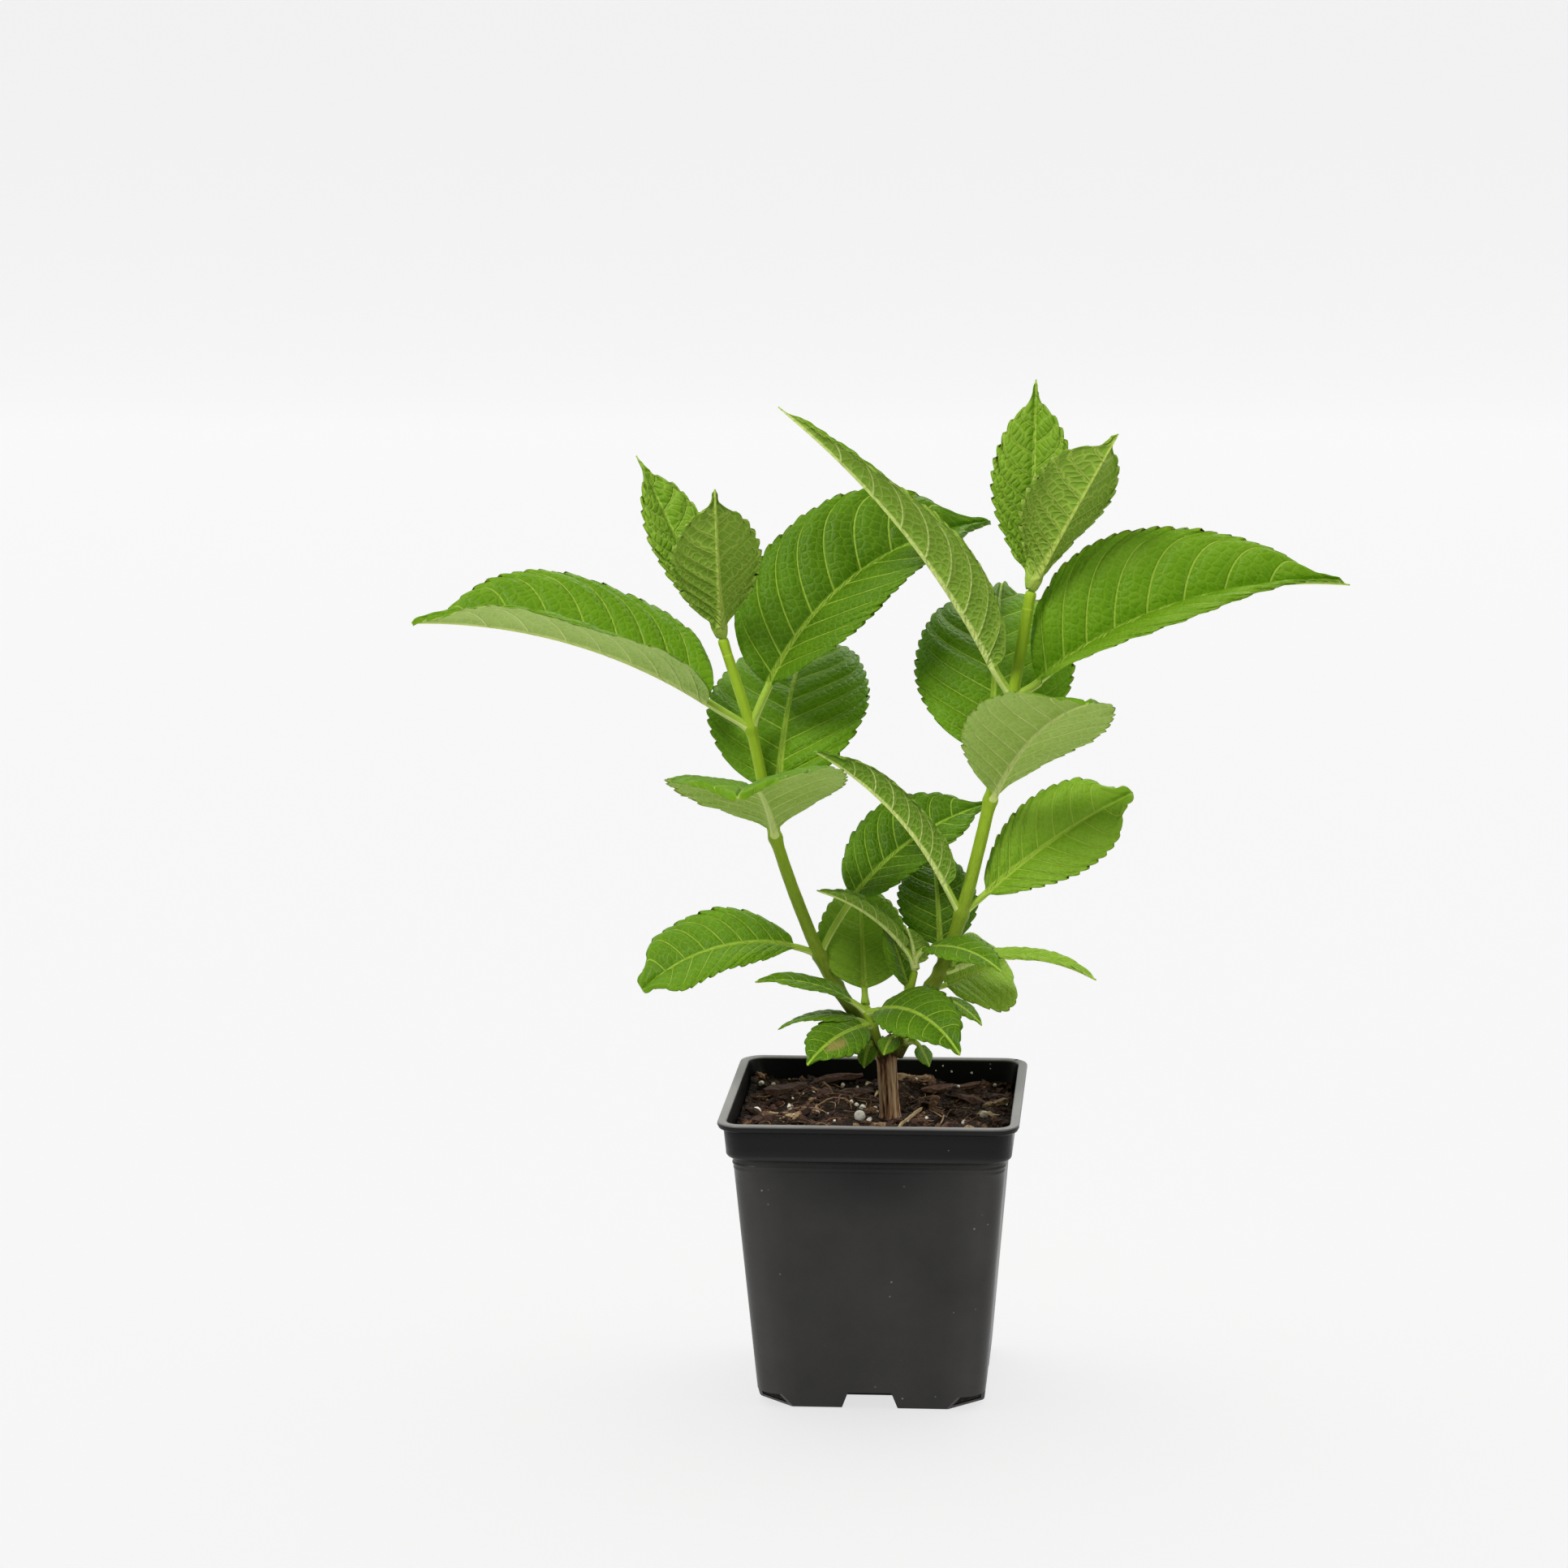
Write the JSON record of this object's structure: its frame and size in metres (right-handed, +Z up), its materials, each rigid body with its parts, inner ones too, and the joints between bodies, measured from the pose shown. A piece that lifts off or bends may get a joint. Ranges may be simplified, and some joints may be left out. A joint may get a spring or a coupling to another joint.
{
  "type": "potted young hydrangea shrub",
  "caption": "Young hydrangea with leafy green shoots on a cut-back woody stem, in a tapered square nursery pot filled with bark compost.",
  "frame": {"origin": "middle of the pot's flat underside", "axes": "+Z up; +X to the viewer's right when the plant is seen from the front, with the two shoots side by side; +Y away from the viewer"},
  "size_m": [0.3117, 0.1453, 0.3392],
  "materials": {
    "pot": "satin charcoal plastic with light scuffs",
    "soil": "damp bark compost with pale grit, chips and straw",
    "bark": "ridged tan and brown bark with dark grooves",
    "shoot": "satin green stem, olive brown towards its foot",
    "leaf": "satin mid green above, paler and matt below, with pale veins",
    "young_leaf": "satin yellow green, deeply veined"
  },
  "bodies": {
    "root": {"pot": "pot", "soil": "soil", "woody_stem": "bark", "left_shoot": "shoot", "right_shoot": "shoot", "left_shoot_tip": "young_leaf", "right_shoot_tip": "young_leaf", "front_sprout": "leaf", "middle_sprout": "leaf", "left_sprig": "leaf", "right_sprig": "leaf", "left_leaf_1_left": "leaf", "left_leaf_1_right": "leaf", "left_leaf_2_front": "leaf", "left_leaf_2_back": "leaf", "left_leaf_3_left": "leaf", "left_leaf_3_right": "leaf", "right_leaf_0_low": "leaf", "right_leaf_0_right": "leaf", "right_leaf_1_front": "leaf", "right_leaf_1_back": "leaf", "right_leaf_2_left": "leaf", "right_leaf_2_right": "leaf", "right_leaf_3_front": "leaf", "right_leaf_3_back": "leaf", "right_leaf_4_left": "leaf", "right_leaf_4_right": "leaf"}
  },
  "joints": []
}
